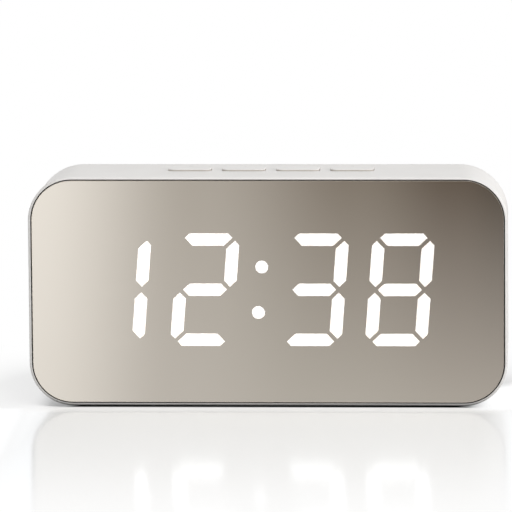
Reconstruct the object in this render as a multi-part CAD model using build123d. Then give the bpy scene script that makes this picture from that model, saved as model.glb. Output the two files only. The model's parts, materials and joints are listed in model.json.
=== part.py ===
from build123d import *
import math
import os

# Mirror-faced LED table clock. Millimetres, +Z up, the mirror faces -Y, +X is to the viewer's right.
# The origin is on the table under the middle of the case.

# Case
CASE_WIDTH = 170.4
CASE_HEIGHT = 82.3
CASE_DEPTH = 38.0
FRONT_CORNER = 15.5
REAR_CORNER = 17.5
REAR_DRAW = 0.4  # each side draws in by this much from front to rear
FRONT_ROUND = 0.7
REAR_ROUND = 3.0
WALL = 2.2
RIM = 0.85  # white edge seen around the mirror
SEAM_WIDTH = 0.35  # shadow line where the two shells meet
SEAM_DEPTH = 0.4
OVERRUN = 1.0  # how far a cutting shape runs past what it cuts

# Mirror, the mask on its back, its tape and the ledge that carries it
MIRROR_THICKNESS = 3.0
MIRROR_RECESS = 0.15
MIRROR_GAP = 0.42
MIRROR_BEVEL = 0.15
MASK_THICKNESS = 0.25
MASK_SETBACK = 0.1
MASK_LAP = 0.08  # over the edge of each bar and dot
TAPE_WIDTH = 2.8
TAPE_THICKNESS = 0.5
TAPE_FIT = 0.05  # clear of the rim and of the mirror's edge
TAPE_SINK = 0.6  # front of the case to the front edge of its folded lip
LEDGE_MARGIN = 0.15
LEDGE_THICKNESS = 1.6

# Seven-bar display
TIME_SHOWN = "1238"
DIGIT_HEIGHT_SHARE = 0.4955  # of the case's height
DIGIT_WIDTH_SHARE = 0.1604  # this and the next five are shares of the light box's width
COLON_SHARE = -0.0204  # middle of the case to the colon
HOUR_REACH_SHARE = 0.141  # colon to the nearer hour digit
HOUR_PITCH_SHARE = 0.2254
MINUTE_REACH_SHARE = 0.1383
MINUTE_PITCH_SHARE = 0.2187
COLON_SPREAD_SHARE = 0.402  # of the digits' height
BAR_WIDTH = 4.68
BAR_GAP = 1.25
DIGIT_CHAMFER = 4.3
DIGIT_SLANT = 4.45
DOT_RADIUS = 2.4
DISPLAY_RISE = 0.23  # middle of the case to the middle of the digits

# Light box behind the mask
REFLECTOR_DEPTH = 7.0
REFLECTOR_MARGIN = 3.0
REFLECTOR_SIDE_GAP = 1.5  # light box to the display board's posts
REFLECTOR_CORNER = 2.0
REFLECTOR_GAP = 0.1
WELL_DRAFT = 1.2
DOT_DRAFT = 0.5
DIFFUSER_DEPTH = 1.8
DIFFUSER_GAP = 0.05
LED_LENGTH = 3.0
LED_WIDTH = 1.4
LED_HEIGHT = 0.8
PEG_RADIUS = 1.1
PEG_INSET = 2.4
PEG_GAP = 0.1
PEG_END = 0.8

# Display board and its posts
BOARD_THICKNESS = 1.6
BOARD_SIDE_ROOM = 5.8
BOARD_END_ROOM = 10.8
BOARD_CORNER = 2.0
BOARD_HOLE_INSET = 3.2
BOARD_HOLE_DROP = 8.0
BOARD_POST_RADIUS = 2.8
EAR_WIDTH = 6.4

# Parts soldered to the rear of the display board
CONTROLLER_X = -8.0
CONTROLLER_DROP = 12.0  # below the top of the display board, as are the next two
CONTROLLER_LENGTH = 10.3
CONTROLLER_WIDTH = 5.4
CONTROLLER_LEAD_COUNT = 8
LEAD_PITCH = 1.1
LEAD_WIDTH = 0.45
LEAD_REACH = 1.1
LEAD_THICKNESS = 0.25
CHIP_HEIGHT = 1.6
CHIP_BEVEL = 0.25
DRIVER_INSET = 33.0  # from the board's left end
DRIVER_LOWER = 4.0  # middle of the pair below the middle of the board
DRIVER_PITCH = 14.0
DRIVER_LENGTH = 4.9
DRIVER_LEAD_COUNT = 4
CRYSTAL_X = 12.0
CRYSTAL_DROP = 13.0
CRYSTAL_RADIUS = 1.5
CRYSTAL_LENGTH = 8.0
CRYSTAL_LEG = 2.0
CRYSTAL_LEG_WIDTH = 0.4
CAPACITOR_BAY_GAP = 2.0  # clear of the battery bay's side
CAPACITOR_DROP = 14.0
CAPACITOR_PITCH = 9.0
CAPACITOR_RADIUS = 3.1
CAPACITOR_HEIGHT = 7.0
CAPACITOR_ROUND = 0.5
RESISTOR_COUNT = 7
RESISTOR_PITCH = 6.0
RESISTOR_RISE = 6.0  # above the bottom of the display board
RESISTOR_LENGTH = 3.2
RESISTOR_WIDTH = 1.6
RESISTOR_HEIGHT = 0.6
BUZZER_INSET = 22.0  # from the board's right end
BUZZER_RADIUS = 6.0
BUZZER_HEIGHT = 8.5
BUZZER_HOLE = 1.0
BUZZER_HOLE_DEPTH = 2.0
BUZZER_ROUND = 0.6

# Keys in the roof
KEY_LENGTH = 15.4
KEY_WIDTH = 8.0
KEY_CORNER = 2.2
KEY_PROUD = 0.7
KEY_ROUND = 0.3
KEY_GAP = 0.2
KEY_COUNT = 4
KEY_PITCH = 19.35
KEY_SHIFT = 0.5  # middle of the row, right of the middle of the case
KEY_SETBACK_SHARE = 0.54  # front of the case to the middle of the keys, of the case's depth
KEY_FLANGE = 1.2
KEY_FLANGE_THICKNESS = 1.2
KEY_SEAT_GAP = 0.08
STEM_RADIUS = 1.9
STEM_LENGTH = 2.4

# Key board and switches
SWITCH_SIZE = 6.0
SWITCH_HEIGHT = 3.5
SWITCH_BEVEL = 0.3
PLUNGER_RADIUS = 1.7
PLUNGER_RISE = 1.5
PLUNGER_DIP = 0.6
PLUNGER_WELL = 1.4
PLUNGER_GAP = 0.1
KEY_BOARD_THICKNESS = 1.2
KEY_BOARD_DEPTH = 12.0
KEY_BOARD_CORNER = 1.0
KEY_POST_RADIUS = 2.8
KEY_POST_GAP = 2.0
RIBBON_X = 24.0
RIBBON_WIDTH = 6.4
RIBBON_THICKNESS = 1.0
RIBBON_SETBACK = 3.0  # how far it leaves the key board in front of the keys' middle
RIBBON_DROP = 9.0
RIBBON_BEND_SHARE = 0.625  # of its way forward to the display board

# Rear cover
COVER_DEPTH = 4.5
COVER_FLOOR = 2.4
LIP_LENGTH = 2.0
LIP_WALL = 1.1
LIP_GAP = 0.15
LIP_ROOT = 0.8
POST_RADIUS = 3.5
POST_INSET = 8.2
POST_GAP = 0.1
POST_SKIN = 0.5  # least plastic left outside a post
PAD_RADIUS = 4.4
HEAD_SINK = 3.0
HEAD_ROOM = 0.4
SOUND_SLOT_COUNT = 5
SLOT_LENGTH = 12.0
SLOT_WIDTH = 1.4
SLOT_PITCH = 3.0

# Cells and their contacts
CELL_RADIUS = 5.25
CELL_LENGTH = 44.5
CELL_BEVEL = 0.5
NUB_RADIUS = 1.9
NUB_LENGTH = 1.0
CELL_COUNT = 3
CELL_PITCH = 11.3
CELL_GAP = 0.3
CONTACT_THICKNESS = 0.4
CONTACT_WIDTH = 9.0
CONTACT_HEIGHT = 9.4
DIMPLE_RADIUS = 2.0
DIMPLE_HEIGHT = 0.9
BOW_RISE = 4.4
BOW_SPAN = 8.0
BOW_WIDTH = 5.0
BOW_THICKNESS = 0.35
TAIL_WIDTH = 3.0
TAIL_LENGTH = 2.5
TAIL_GAP = 0.1
LEAD_RADIUS = 0.65
LEAD_BEND_SHARE = 0.2  # of the way from a contact's tail to the display board
LEAD_STEP = 8.0  # how far a battery lead steps sideways on its way to the board

# Battery bay and door
BAY_X = 0.0
BAY_WALL = 1.6
BAY_FLOOR = 1.5
BAY_RIB = 1.0
BAY_RIB_HEIGHT = 2.6
BAY_RIB_LENGTH = 22.0
DOOR_THICKNESS = 1.8
DOOR_GAP = 0.3
DOOR_LAP = 1.3
DOOR_CORNER = 1.5
SEAT_GAP = 0.1
SEAT_THICKNESS = 1.2
SEAT_MARGIN = 1.4
HINGE_STRIP = 6.4  # bottom edge of the door to the bay
HOOK_WIDTH = 6.0
HOOK_SPREAD = 34.0
HOOK_LEG = 1.2
HOOK_LOW = 0.3  # leg's underside below the hinge axis
HOOK_TOE = 1.5  # toe below the leg
HOOK_THICKNESS = 1.0
HOOK_GAP = 0.25
HOOK_SIDE_GAP = 0.4
HOOK_SLOT_ROOM = 0.3
LATCH_WIDTH = 14.0
LATCH_SLIT = 1.0
LATCH_LENGTH = 9.0
NIB_WIDTH = 10.0
NIB_DEPTH = 1.8
NIB_HEIGHT = 1.1
NIB_RISE = 0.1
NIB_ROOM = 0.5
SCOOP_LENGTH = 16.0
SCOOP_RADIUS = 6.0
SCOOP_DEPTH = 1.5
GRIP_COUNT = 3
GRIP_PITCH = 1.8
GRIP_WIDTH = 0.7
GRIP_DEPTH = 0.4

# Power inlet
SOCKET_INSET = 27.0  # from the case's left side
SOCKET_DROP = 19.0  # below the middle of the case
SOCKET_WIDTH = 8.94
SOCKET_HEIGHT = 3.26
SOCKET_WALL = 0.3
SOCKET_LENGTH = 7.3
SOCKET_SINK = 0.5
SOCKET_GAP = 0.25
SOCKET_BACK = 1.6
TONGUE_WIDTH = 6.7
TONGUE_THICKNESS = 0.7
TONGUE_GAP = 0.05
TONGUE_SINK = 0.6
POWER_BOARD_WIDTH = 22.0
POWER_BOARD_LENGTH = 13.0
POWER_BOARD_THICKNESS = 1.6
POWER_BOARD_GAP = 0.3
SHELF_WIDTH = 5.0
SHELF_HEIGHT = 6.5
POWER_LEAD_PITCH = 3.0
POWER_LEAD_SETBACK = 2.0
POWER_LEAD_RISE = 4.0
POWER_LEAD_BEND = 2.0

# Screws: shank radius, length under the head, head radius, head height
BIG_SHANK = 1.3
BIG_LENGTH = 9.0
BIG_HEAD = 2.5
BIG_HEAD_HEIGHT = 1.8
SMALL_SHANK = 1.0
SMALL_LENGTH = 5.6
SMALL_HEAD = 1.9
SMALL_HEAD_HEIGHT = 1.4
HEAD_ROUND = 0.5
CROSS_WIDTH = 0.7
CROSS_DEPTH = 0.7
CROSS_SPAN = 0.65  # share of the head's width that the cross takes
PILOT_GAP = 0.05
PILOT_SPARE = 0.8
SHANK_ROOM = 0.25

# Rubber feet
FOOT_RADIUS = 4.0
FOOT_STAND = 0.6
FOOT_SINK = 1.0
FOOT_GAP = 0.1
FOOT_SIDE_INSET = 22.0
FOOT_LEDGE_GAP = 0.4  # front foot's pocket behind the front of the mirror's ledge
FOOT_REAR_INSET = 1.2  # rear foot's edge in front of the parting line
FOOT_ROUND = 0.3

# Depths and heights worked out from the sizes above
FRONT = -CASE_DEPTH / 2
REAR = CASE_DEPTH / 2
PARTING = REAR - COVER_DEPTH
MIDDLE = FOOT_STAND + CASE_HEIGHT / 2
DISPLAY_Z = MIDDLE + DISPLAY_RISE
MIRROR_BACK = FRONT + MIRROR_RECESS + MIRROR_THICKNESS
MIRROR_INSET = RIM + MIRROR_GAP
MASK_BACK = MIRROR_BACK + MASK_THICKNESS
TAPE_INNER = MIRROR_INSET + TAPE_WIDTH
LEDGE_INSET = TAPE_INNER + LEDGE_MARGIN
LEDGE_FRONT = MASK_BACK + TAPE_THICKNESS
LEDGE_BACK = LEDGE_FRONT + LEDGE_THICKNESS
REFLECTOR_FRONT = MASK_BACK + REFLECTOR_GAP
BOARD_FRONT = REFLECTOR_FRONT + REFLECTOR_DEPTH
BOARD_BACK = BOARD_FRONT + BOARD_THICKNESS
BOARD_WIDTH = CASE_WIDTH - 2 * (WALL + BOARD_SIDE_ROOM)
BOARD_HEIGHT = CASE_HEIGHT - 2 * (WALL + BOARD_END_ROOM)
POST_END = PARTING - LIP_LENGTH - POST_GAP
KEY_Y = FRONT + KEY_SETBACK_SHARE * CASE_DEPTH
COVER_INNER = REAR - COVER_FLOOR

DOOR_BACK = REAR - DOOR_THICKNESS
DOOR_SEAT = DOOR_BACK - SEAT_GAP
SEAT_BACK = DOOR_SEAT - SEAT_THICKNESS
CELL_Y = DOOR_BACK - CELL_GAP - CELL_RADIUS
BAY_END = CELL_Y - CELL_RADIUS - CELL_GAP
BAY_BACK = BAY_END - BAY_FLOOR
BAY_LENGTH = CELL_LENGTH + BOW_RISE + DIMPLE_HEIGHT + 2 * CONTACT_THICKNESS
BAY_HEIGHT = CELL_COUNT * CELL_PITCH
BAY_TOP = MIDDLE + BAY_HEIGHT / 2
BAY_BOTTOM = MIDDLE - BAY_HEIGHT / 2
DOOR_TOP = BAY_TOP + DOOR_LAP
DOOR_BOTTOM = BAY_BOTTOM - HINGE_STRIP
DOOR_WIDTH = BAY_LENGTH + 2 * DOOR_LAP
HINGE_Y = REAR - DOOR_THICKNESS / 2
HINGE_Z = DOOR_BOTTOM + DOOR_THICKNESS / 2
HOOK_FRONT = SEAT_BACK - HOOK_GAP

SOCKET_X = SOCKET_INSET - CASE_WIDTH / 2
SOCKET_Z = MIDDLE - SOCKET_DROP
SOCKET_MOUTH = REAR - SOCKET_SINK
POWER_BOARD_TOP = SOCKET_Z - SOCKET_HEIGHT / 2
POWER_BOARD_LOW = POWER_BOARD_TOP - POWER_BOARD_THICKNESS
POWER_BOARD_EDGE = COVER_INNER - POWER_BOARD_GAP

BOARD_TOP = MIDDLE + BOARD_HEIGHT / 2
BOARD_BOTTOM = MIDDLE - BOARD_HEIGHT / 2
BUZZER_X = BOARD_WIDTH / 2 - BUZZER_INSET
DRIVER_X = DRIVER_INSET - BOARD_WIDTH / 2
CAPACITOR_X = BAY_X + BAY_LENGTH / 2 + BAY_WALL + CAPACITOR_BAY_GAP + CAPACITOR_RADIUS

REFLECTOR_WIDTH = BOARD_WIDTH - 2 * (BOARD_HOLE_INSET + BOARD_POST_RADIUS + REFLECTOR_SIDE_GAP)
DIGIT_HEIGHT = DIGIT_HEIGHT_SHARE * CASE_HEIGHT
DIGIT_WIDTH = DIGIT_WIDTH_SHARE * REFLECTOR_WIDTH
COLON_X = COLON_SHARE * REFLECTOR_WIDTH
COLON_SPREAD = COLON_SPREAD_SHARE * DIGIT_HEIGHT
HOUR_X = COLON_X - HOUR_REACH_SHARE * REFLECTOR_WIDTH
MINUTE_X = COLON_X + MINUTE_REACH_SHARE * REFLECTOR_WIDTH
DIGIT_CENTRES = [
    HOUR_X - HOUR_PITCH_SHARE * REFLECTOR_WIDTH,
    HOUR_X,
    MINUTE_X,
    MINUTE_X + MINUTE_PITCH_SHARE * REFLECTOR_WIDTH,
]
BARS_LIT = {"0": "abcdef", "1": "bc", "2": "abdeg", "3": "abcdg", "4": "bcfg", "5": "acdfg",
            "6": "acdefg", "7": "abc", "8": "abcdefg", "9": "abcdfg"}


def facing(depth):
    # drawing plane parallel to the front, at depth y: local x is X and local y is Z
    return Plane(origin=(0, depth, 0), x_dir=(1, 0, 0), z_dir=(0, -1, 0))


def slab(outline, front, back):
    # an outline drawn on the front, solid between two depths
    return extrude(facing(back) * outline, amount=back - front, dir=(0, -1, 0))


def level(outline, low, high):
    # an outline drawn in plan, solid between two heights
    return extrude(Pos(0, 0, low) * outline, amount=high - low, dir=(0, 0, 1))


def disc(radius, x, z):
    return Pos(x, z) * Circle(radius)


def panel(width, height, x, z, corner=0.0):
    shape = RectangleRounded(width, height, corner) if corner else Rectangle(width, height)
    return Pos(x, z) * shape


def case_outline(depth, inset=0.0):
    share = (depth - FRONT) / CASE_DEPTH
    draw = 2 * (REAR_DRAW * share + inset)
    corner = FRONT_CORNER + (REAR_CORNER - FRONT_CORNER) * share - inset
    return panel(CASE_WIDTH - draw, CASE_HEIGHT - draw, 0, MIDDLE, corner)


def case_block(front, back, inset=0.0):
    sections = [facing(depth) * case_outline(depth, inset) for depth in (front, back)]
    return loft(sections, ruled=True)


def roof(depth):
    return MIDDLE + CASE_HEIGHT / 2 - REAR_DRAW * (depth - FRONT) / CASE_DEPTH


def case_body():
    body = case_block(FRONT, REAR)
    body = fillet(body.faces().sort_by(Axis.Y)[-1].edges(), REAR_ROUND)
    return fillet(body.faces().sort_by(Axis.Y)[0].edges(), FRONT_ROUND)


def corner_spots(inset_x, inset_z):
    across = CASE_WIDTH / 2 - inset_x
    up = CASE_HEIGHT / 2 - inset_z
    return [(side * across, MIDDLE + end * up) for side in (-1, 1) for end in (-1, 1)]


def board_holes():
    across = BOARD_WIDTH / 2 - BOARD_HOLE_INSET
    up = BOARD_HEIGHT / 2 - BOARD_HOLE_DROP
    return [(side * across, MIDDLE + end * up) for side in (-1, 1) for end in (-1, 1)]


def key_centres():
    first = KEY_SHIFT - KEY_PITCH * (KEY_COUNT - 1) / 2
    return [first + KEY_PITCH * place for place in range(KEY_COUNT)]


def key_heights():
    # heights of the key's top, flange top, flange bottom, stem end, switch top and board top
    top = roof(KEY_Y) + KEY_PROUD
    flange_rear = KEY_Y + KEY_WIDTH / 2 + KEY_FLANGE
    flange_top = roof(flange_rear) - WALL - KEY_SEAT_GAP
    flange_low = flange_top - KEY_FLANGE_THICKNESS
    stem_end = flange_low - STEM_LENGTH
    switch_top = stem_end - PLUNGER_RISE
    return top, flange_top, flange_low, stem_end, switch_top, switch_top - SWITCH_HEIGHT


def key_post_spots():
    reach = KEY_LENGTH / 2 + KEY_FLANGE + KEY_POST_GAP + KEY_POST_RADIUS
    centres = key_centres()
    return [centres[0] - reach, centres[-1] + reach]


def foot_spots():
    across = CASE_WIDTH / 2 - FOOT_SIDE_INSET
    front = LEDGE_FRONT + FOOT_LEDGE_GAP + FOOT_GAP + FOOT_RADIUS
    depths = (front, PARTING - FOOT_REAR_INSET - FOOT_RADIUS)
    return [(side * across, depth) for side in (-1, 1) for depth in depths]


def front_housing():
    shell = split(case_body(), bisect_by=facing(PARTING), keep=Keep.TOP)
    shell -= slab(case_outline(FRONT, RIM), FRONT - OVERRUN, LEDGE_FRONT)
    shell -= slab(case_outline(FRONT, LEDGE_INSET), LEDGE_FRONT - OVERRUN, LEDGE_BACK + OVERRUN)
    shell -= case_block(LEDGE_BACK, PARTING + OVERRUN, WALL)

    # posts for the rear cover run along the corners, inside the case's skin
    inside = case_block(LEDGE_FRONT, PARTING, POST_SKIN)
    for x, z in corner_spots(POST_INSET, POST_INSET):
        shell += slab(disc(POST_RADIUS, x, z), LEDGE_FRONT + LEDGE_THICKNESS / 2, POST_END) & inside
    pilot = BIG_SHANK + PILOT_GAP
    pilot_end = REAR - HEAD_SINK - BIG_LENGTH - PILOT_SPARE
    for x, z in corner_spots(POST_INSET, POST_INSET):
        shell -= slab(disc(pilot, x, z), pilot_end, POST_END + OVERRUN)

    # the display board stands on posts whose ears grow out of the side ledges
    side = CASE_WIDTH / 2 - WALL / 2
    for x, z in board_holes():
        root = math.copysign(side, x)
        shell += slab(panel(abs(root - x), EAR_WIDTH, (root + x) / 2, z), LEDGE_FRONT, LEDGE_BACK)
        shell += slab(disc(EAR_WIDTH / 2, x, z), LEDGE_FRONT, LEDGE_BACK)
        shell += slab(disc(BOARD_POST_RADIUS, x, z), LEDGE_FRONT, BOARD_FRONT)
    pilot = SMALL_SHANK + PILOT_GAP
    pilot_end = BOARD_BACK - SMALL_LENGTH - PILOT_SPARE / 2
    for x, z in board_holes():
        shell -= slab(disc(pilot, x, z), pilot_end, BOARD_FRONT + OVERRUN)

    # two posts hang from the roof for the key board
    board_top = key_heights()[-1]
    for x in key_post_spots():
        post = Pos(x, KEY_Y) * Circle(KEY_POST_RADIUS)
        hole = Pos(x, KEY_Y) * Circle(pilot)
        shell += level(post, board_top, roof(KEY_Y) - WALL / 2)
        bite = SMALL_LENGTH - KEY_BOARD_THICKNESS + PILOT_SPARE
        shell -= level(hole, board_top - OVERRUN, board_top + bite)

    for x in key_centres():
        hole = RectangleRounded(KEY_LENGTH + 2 * KEY_GAP, KEY_WIDTH + 2 * KEY_GAP, KEY_CORNER + KEY_GAP)
        shell -= level(Pos(x, KEY_Y) * hole, roof(REAR) - WALL - OVERRUN, roof(FRONT) + OVERRUN)

    for x, y in foot_spots():
        pocket = Pos(x, y) * Circle(FOOT_RADIUS + FOOT_GAP)
        shell -= level(pocket, -OVERRUN, FOOT_STAND + FOOT_SINK)
    return shell


def mirror_panel():
    glass = slab(case_outline(FRONT, MIRROR_INSET), FRONT + MIRROR_RECESS, MIRROR_BACK)
    return chamfer(glass.faces().sort_by(Axis.Y)[0].edges(), MIRROR_BEVEL)


def mirror_tape():
    # black foam frame between the mask and the ledge, folded forward round the mirror's edge
    lip_front = FRONT + TAPE_SINK
    frame = slab(case_outline(FRONT, RIM + TAPE_FIT), lip_front, LEDGE_FRONT)
    frame -= slab(case_outline(FRONT, MIRROR_INSET - TAPE_FIT), lip_front - OVERRUN, MASK_BACK)
    return frame - slab(case_outline(FRONT, TAPE_INNER), lip_front - OVERRUN, LEDGE_FRONT + OVERRUN)


def bar_corners(letter):
    # one bar of an upright digit: every end is cut at 45 degrees, half a gap short of its neighbour
    half_width = DIGIT_WIDTH / 2
    half_height = DIGIT_HEIGHT / 2
    inner = half_width - BAR_WIDTH
    cut = BAR_GAP / math.sqrt(2)
    near = (DIGIT_CHAMFER - cut) / 2
    far = (DIGIT_CHAMFER + cut) / 2
    spine = half_width - BAR_WIDTH / 2
    half_bar = BAR_WIDTH / 2

    if letter in "ad":
        right = [(half_width - DIGIT_CHAMFER, half_height), (half_width - far, half_height - near),
                 (inner - cut, half_height - BAR_WIDTH)]
        corners = right + [(-x, z) for x, z in reversed(right)]
    elif letter == "g":
        right = [(inner - cut, half_bar), (spine - cut, 0), (inner - cut, -half_bar)]
        corners = right + [(-x, -z) for x, z in right]
    else:
        corners = [(half_width, half_height - DIGIT_CHAMFER), (half_width, cut + half_bar), (spine, cut),
                   (inner, cut + half_bar), (inner, half_height - BAR_WIDTH - cut),
                   (half_width - near, half_height - far)]
    across = -1 if letter in "ef" else 1
    up = -1 if letter in "cde" else 1
    return [(across * x, up * z) for x, z in corners]


def drawn_in(corners, amount):
    # the same convex outline with every side moved inwards, corner by corner
    moved = []
    for place, corner in enumerate(corners):
        here = Vector(*corner)
        before = (here - Vector(*corners[place - 1])).normalized()
        after = (Vector(*corners[(place + 1) % len(corners)]) - here).normalized()
        here += (after - before) * (amount / abs(before.cross(after).Z))
        moved.append((here.X, here.Y))
    return moved


def slanted(corners, centre):
    lean = math.tan(math.radians(DIGIT_SLANT))
    return [(centre + x + z * lean, DISPLAY_Z + z) for x, z in corners]


def bar_prism(letter, centre, front, back, inset_front, inset_back):
    sections = []
    for depth, inset in ((front, inset_front), (back, inset_back)):
        outline = Polygon(*slanted(drawn_in(bar_corners(letter), inset), centre), align=None)
        sections.append(facing(depth) * outline)
    return loft(sections, ruled=True)


def dot_spots():
    lean = math.tan(math.radians(DIGIT_SLANT))
    half = COLON_SPREAD / 2
    return [(COLON_X + end * half * lean, DISPLAY_Z + end * half) for end in (-1, 1)]


def dot_prism(spot, front, back, radius_front, radius_back):
    sections = [facing(front) * disc(radius_front, *spot), facing(back) * disc(radius_back, *spot)]
    return loft(sections, ruled=True)


def bars_where(lit):
    # letters and digit centres of the bars that are lit, or of those that are dark
    found = []
    for digit, centre in zip(TIME_SHOWN, DIGIT_CENTRES):
        for letter in "abcdefg":
            if (letter in BARS_LIT[digit]) == lit:
                found.append((letter, centre))
    return found


def all_bars():
    return bars_where(True) + bars_where(False)


def mask_film():
    film = slab(case_outline(FRONT, MIRROR_INSET + MASK_SETBACK), MIRROR_BACK, MASK_BACK)
    front = MIRROR_BACK - OVERRUN
    back = MASK_BACK + OVERRUN
    windows = [bar_prism(letter, centre, front, back, MASK_LAP, MASK_LAP) for letter, centre in all_bars()]
    radius = DOT_RADIUS - MASK_LAP
    windows += [dot_prism(spot, front, back, radius, radius) for spot in dot_spots()]
    return film - windows


def reflector_frame():
    # left, right, low and high sides of the light box, between the display board's posts
    reach = REFLECTOR_WIDTH / 2
    up = DIGIT_HEIGHT / 2 + REFLECTOR_MARGIN
    return -reach, reach, DISPLAY_Z - up, DISPLAY_Z + up


def peg_spots():
    left, right, low, high = reflector_frame()
    columns = (left + PEG_INSET, right - PEG_INSET)
    return [(x, z) for x in columns for z in (low + PEG_INSET, high - PEG_INSET)]


def segment_reflector():
    left, right, low, high = reflector_frame()
    outline = panel(right - left, high - low, (left + right) / 2, (low + high) / 2, REFLECTOR_CORNER)
    box = slab(outline, REFLECTOR_FRONT, BOARD_FRONT)
    wells = [bar_prism(letter, centre, REFLECTOR_FRONT, BOARD_FRONT, 0, WELL_DRAFT)
             for letter, centre in all_bars()]
    wells += [dot_prism(spot, REFLECTOR_FRONT, BOARD_FRONT, DOT_RADIUS, DOT_RADIUS - DOT_DRAFT)
              for spot in dot_spots()]
    box -= wells
    for x, z in peg_spots():
        box += slab(disc(PEG_RADIUS, x, z), BOARD_FRONT - OVERRUN, BOARD_BACK + PEG_END)
    return box


def diffusers(lit):
    share = DIFFUSER_DEPTH / REFLECTOR_DEPTH
    back = REFLECTOR_FRONT + DIFFUSER_DEPTH
    inset_back = DIFFUSER_GAP + WELL_DRAFT * share
    pieces = [bar_prism(letter, centre, REFLECTOR_FRONT, back, DIFFUSER_GAP, inset_back)
              for letter, centre in bars_where(lit)]
    if lit:
        radius = DOT_RADIUS - DIFFUSER_GAP
        pieces += [dot_prism(spot, REFLECTOR_FRONT, back, radius, radius - DOT_DRAFT * share)
                   for spot in dot_spots()]
    return Compound(pieces)


def display_board():
    board = slab(panel(BOARD_WIDTH, BOARD_HEIGHT, 0, MIDDLE, BOARD_CORNER), BOARD_FRONT, BOARD_BACK)
    front = BOARD_FRONT - OVERRUN
    back = BOARD_BACK + OVERRUN
    for x, z in board_holes():
        board -= slab(disc(SMALL_SHANK + SHANK_ROOM, x, z), front, back)
    for x, z in peg_spots():
        board -= slab(disc(PEG_RADIUS + PEG_GAP, x, z), front, back)
    return board


def segment_leds():
    leds = []
    for letter, centre in all_bars():
        corners = slanted(bar_corners(letter), centre)
        x = sum(corner[0] for corner in corners) / len(corners)
        z = sum(corner[1] for corner in corners) / len(corners)
        flat = letter in "adg"
        width = LED_LENGTH if flat else LED_WIDTH
        height = LED_WIDTH if flat else LED_LENGTH
        leds.append(slab(panel(width, height, x, z), BOARD_FRONT - LED_HEIGHT, BOARD_FRONT))
    for x, z in dot_spots():
        leds.append(slab(panel(LED_WIDTH, LED_LENGTH, x, z), BOARD_FRONT - LED_HEIGHT, BOARD_FRONT))
    return Compound(leds)


def leaded_chip(length, width, leads, x, z):
    # moulded body on the board's rear, with flat leads along its two long sides
    body = slab(panel(length, width, x, z), BOARD_BACK + LEAD_THICKNESS, BOARD_BACK + CHIP_HEIGHT)
    body = chamfer(body.faces().sort_by(Axis.Y)[-1].edges(), CHIP_BEVEL)
    for place in range(leads):
        lead_x = x + LEAD_PITCH * (place - (leads - 1) / 2)
        strip = panel(LEAD_WIDTH, width + 2 * LEAD_REACH, lead_x, z)
        body += slab(strip, BOARD_BACK, BOARD_BACK + 2 * LEAD_THICKNESS)
    return body


def controller_chip():
    return leaded_chip(CONTROLLER_LENGTH, CONTROLLER_WIDTH, CONTROLLER_LEAD_COUNT, CONTROLLER_X,
                       BOARD_TOP - CONTROLLER_DROP)


def driver_chips():
    chips = []
    for place in (-0.5, 0.5):
        z = MIDDLE - DRIVER_LOWER + place * DRIVER_PITCH
        chips.append(leaded_chip(DRIVER_LENGTH, CONTROLLER_WIDTH, DRIVER_LEAD_COUNT, DRIVER_X, z))
    return Compound(chips)


def clock_crystal():
    y = BOARD_BACK + CRYSTAL_RADIUS
    z = BOARD_TOP - CRYSTAL_DROP
    can = Pos(CRYSTAL_X, y, z) * Rot(0, 90, 0) * Cylinder(CRYSTAL_RADIUS, CRYSTAL_LENGTH)
    leg_x = CRYSTAL_X + CRYSTAL_LENGTH / 2 + CRYSTAL_LEG / 2
    for end in (-1, 1):
        leg_z = z + end * CRYSTAL_RADIUS / 2
        strip = panel(CRYSTAL_LEG + CRYSTAL_RADIUS, CRYSTAL_LEG_WIDTH, leg_x - CRYSTAL_RADIUS / 2, leg_z)
        can += slab(strip, BOARD_BACK, y)
    return can


def filter_capacitors():
    cans = []
    for x in (CAPACITOR_X, CAPACITOR_X + CAPACITOR_PITCH):
        outline = disc(CAPACITOR_RADIUS, x, BOARD_TOP - CAPACITOR_DROP)
        can = slab(outline, BOARD_BACK, BOARD_BACK + CAPACITOR_HEIGHT)
        cans.append(fillet(can.faces().sort_by(Axis.Y)[-1].edges(), CAPACITOR_ROUND))
    return Compound(cans)


def chip_resistors():
    chips = []
    for place in range(RESISTOR_COUNT):
        x = RESISTOR_PITCH * (place - (RESISTOR_COUNT - 1) / 2)
        outline = panel(RESISTOR_WIDTH, RESISTOR_LENGTH, x, BOARD_BOTTOM + RESISTOR_RISE)
        chips.append(slab(outline, BOARD_BACK, BOARD_BACK + RESISTOR_HEIGHT))
    return Compound(chips)


def buzzer():
    top = BOARD_BACK + BUZZER_HEIGHT
    can = slab(disc(BUZZER_RADIUS, BUZZER_X, MIDDLE), BOARD_BACK, top)
    can = fillet(can.faces().sort_by(Axis.Y)[-1].edges(), BUZZER_ROUND)
    return can - slab(disc(BUZZER_HOLE, BUZZER_X, MIDDLE), top - BUZZER_HOLE_DEPTH, top + OVERRUN)


def key_cap(x):
    top, flange_top, flange_low, stem_end, _, _ = key_heights()
    plan = Pos(x, KEY_Y) * RectangleRounded(KEY_LENGTH, KEY_WIDTH, KEY_CORNER)
    wide = RectangleRounded(KEY_LENGTH + 2 * KEY_FLANGE, KEY_WIDTH + 2 * KEY_FLANGE, KEY_CORNER + KEY_FLANGE)
    cap = level(plan, flange_top, top)
    cap = fillet(cap.faces().sort_by(Axis.Z)[-1].edges(), KEY_ROUND)
    cap += level(Pos(x, KEY_Y) * wide, flange_low, flange_top)
    return cap + level(Pos(x, KEY_Y) * Circle(STEM_RADIUS), stem_end, flange_low)


def switch_plunger(x):
    _, _, _, stem_end, switch_top, _ = key_heights()
    return level(Pos(x, KEY_Y) * Circle(PLUNGER_RADIUS), switch_top - PLUNGER_DIP, stem_end)


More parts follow.
